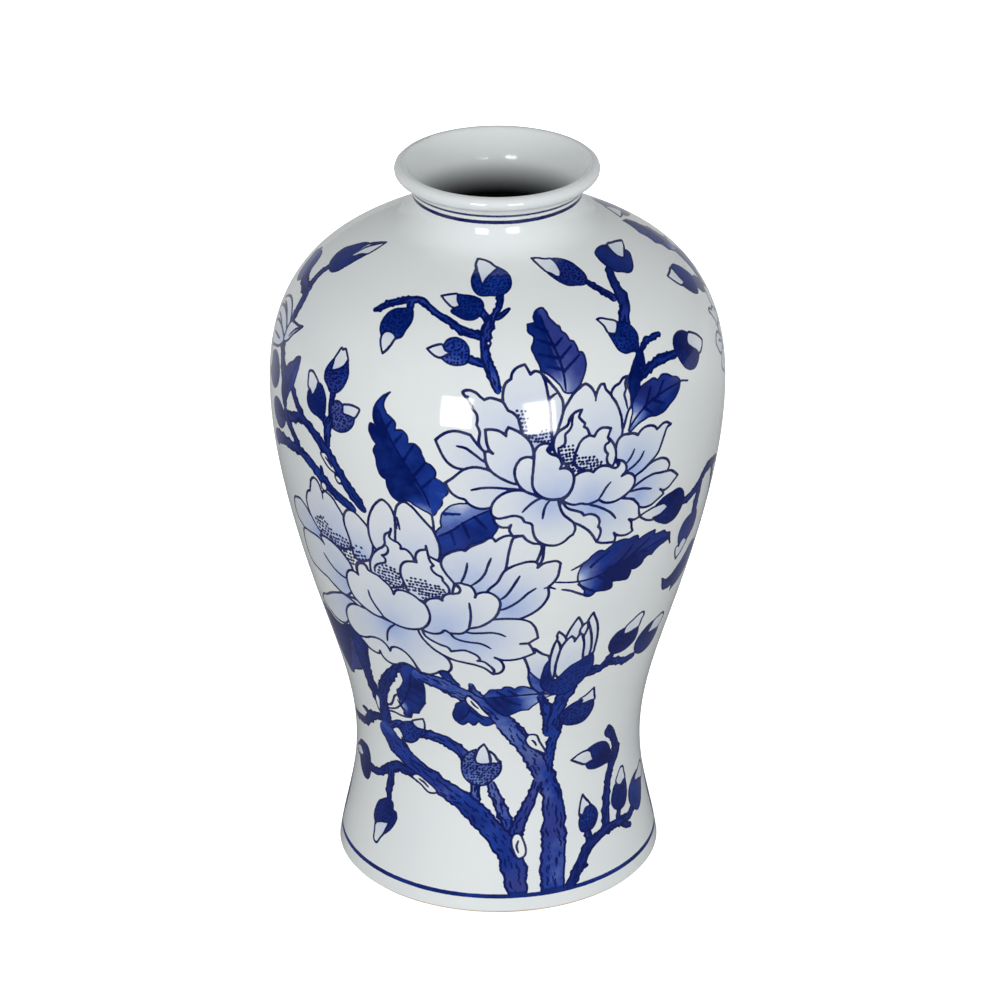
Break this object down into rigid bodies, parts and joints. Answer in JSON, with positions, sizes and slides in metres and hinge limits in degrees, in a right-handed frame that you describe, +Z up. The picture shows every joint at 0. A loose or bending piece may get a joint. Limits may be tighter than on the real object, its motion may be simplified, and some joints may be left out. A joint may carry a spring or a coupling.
{
  "type": "porcelain vase",
  "caption": "Baluster-shaped glazed porcelain vase with a rolled lip, short neck, full shoulder and spreading foot, painted under the glaze with branches and flowers.",
  "frame": {"origin": "centre of the circle that the foot ring stands on, in the plane of the bearing face", "axes": "+Z up along the vase's axis, from the foot to the lip; the vase is a body of revolution, and -Y is the painted front"},
  "size_m": [0.1988, 0.1988, 0.33],
  "materials": {
    "biscuit": "unglazed, fine grained",
    "clay_body": "vitrified, under the glaze",
    "painted_glaze": "glossy clear glaze over cobalt-blue painting",
    "clear_glaze": "glossy"
  },
  "bodies": {
    "root": {"foot_ring": "biscuit", "base_disc": "clay_body", "foot_section": "clay_body", "lower_body": "clay_body", "upper_body": "clay_body", "shoulder": "clay_body", "neck_collar": "clay_body", "lip_roll": "clay_body", "outer_glaze": "painted_glaze", "inner_glaze": "clear_glaze", "base_glaze": "clear_glaze"}
  },
  "joints": []
}
